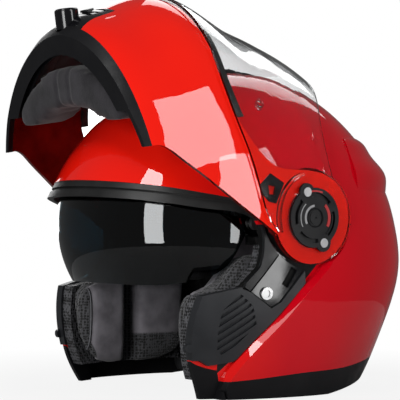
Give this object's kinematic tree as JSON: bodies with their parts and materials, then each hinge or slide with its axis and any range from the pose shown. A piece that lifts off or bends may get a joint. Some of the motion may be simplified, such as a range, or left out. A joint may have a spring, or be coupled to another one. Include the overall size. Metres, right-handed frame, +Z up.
{
  "type": "modular motorcycle helmet",
  "caption": "Modular motorcycle helmet with its flip-up chin bar and clear visor raised, drop-down tinted sun lens, louvred jaw panels, padded lining and rubber edge trim.",
  "frame": {"origin": "middle of the overall size in plan, at the level that the helmet stands on, with the chin bar raised as in the picture", "axes": "+Z up as the helmet stands, the wearer looks along -Y, +X towards the wearer's left"},
  "size_m": [0.2576, 0.2988, 0.3023],
  "materials": {
    "rubber_black": "matt",
    "foam_black": "foam, matt",
    "mesh_black": "spacer mesh over foam",
    "red_bar": "glossy lacquer",
    "satin_black": "satin",
    "suede_grey": "brushed suede cloth over foam",
    "gloss_black": "glossy",
    "steel": "bright",
    "red_shell": "glossy lacquer",
    "tint": "dark tinted, clear coat",
    "clear": "clear, hard coated"
  },
  "bodies": {
    "chin_bar": {"bar_seal": "rubber_black", "chin_bar_shell": "red_bar", "chin_frame": "satin_black", "chin_lip_trim": "satin_black", "chin_pad": "suede_grey", "chin_vent_panel": "gloss_black", "ratchet_plate_left": "satin_black", "ratchet_plate_right": "satin_black", "ratchet_screws_left": "steel", "ratchet_screws_right": "steel", "visor_hook_left": "satin_black", "visor_hook_right": "satin_black"},
    "shell": {"brow_seal": "rubber_black", "cheek_block_left": "foam_black", "cheek_block_right": "foam_black", "cheek_pad_left": "mesh_black", "cheek_pad_right": "mesh_black", "crown_pad": "suede_grey", "hinge_bolt_left": "steel", "hinge_bolt_right": "steel", "impact_liner": "foam_black", "jaw_panel_left": "satin_black", "jaw_panel_right": "satin_black", "lens_pin_left": "steel", "lens_pin_right": "steel", "nape_pad": "suede_grey", "neck_roll": "mesh_black", "outer_shell": "red_shell", "port_frame_left": "satin_black", "port_frame_right": "satin_black", "rear_spoiler": "red_shell", "shell_edge_trim": "satin_black", "side_plate_left": "gloss_black", "side_plate_right": "gloss_black", "striker_pin_left": "steel", "striker_pin_right": "steel", "top_vent": "satin_black"},
    "chin_slider": {"chin_vent_slider": "satin_black"},
    "crown_slide": {"crown_slider": "satin_black"},
    "visor_body": {"insert_pin_left": "satin_black", "insert_pin_right": "satin_black", "visor": "clear"},
    "hook_left": {"latch_hook_left": "satin_black"},
    "hook_right": {"latch_hook_right": "satin_black"},
    "button": {"release_button": "gloss_black"},
    "lens": {"sun_lens": "tint"}
  },
  "joints": [
    {"name": "chin_bar_hinge", "type": "hinge", "parent": "shell", "child": "chin_bar", "pos_m": [0, -0.00265, 0.132], "axis": [1, 0, 0], "range_deg": [0, 82]},
    {"name": "visor_hinge", "type": "hinge", "parent": "chin_bar", "child": "visor_body", "pos_m": [0, -0.00265, 0.132], "axis": [1, 0, 0], "range_deg": [-20, 0]},
    {"name": "lens_hinge", "type": "hinge", "parent": "shell", "child": "lens", "pos_m": [0, -0.03665, 0.128], "axis": [1, 0, 0], "range_deg": [-44, 0]},
    {"name": "release_button_slide", "type": "slide", "parent": "chin_bar", "child": "button", "axis": [0, 0.1392, -0.9903], "range_m": [0, 0.004], "stiffness_N_per_m": 800, "springref_m": -0.001},
    {"name": "latch_hook_left_slide", "type": "slide", "parent": "chin_bar", "child": "hook_left", "axis": [0, -0.1392, 0.9903], "range_m": [0, 0.003]},
    {"name": "latch_hook_right_slide", "type": "slide", "parent": "chin_bar", "child": "hook_right", "axis": [0, -0.1392, 0.9903], "range_m": [0, 0.003]},
    {"name": "chin_vent_slide", "type": "slide", "parent": "chin_bar", "child": "chin_slider", "axis": [1, 0, 0], "range_m": [-0.006, 0.006]},
    {"name": "crown_slide", "type": "slide", "parent": "shell", "child": "crown_slide", "axis": [0, 0.9863, -0.165], "range_m": [0, 0.013]}
  ],
  "couplings": [
    {"joint": "latch_hook_left_slide", "follows": "release_button_slide", "ratio": 0.75},
    {"joint": "latch_hook_right_slide", "follows": "release_button_slide", "ratio": 0.75},
    {"joint": "crown_slide", "follows": "lens_hinge", "m_per_rad": -0.0169}
  ]
}
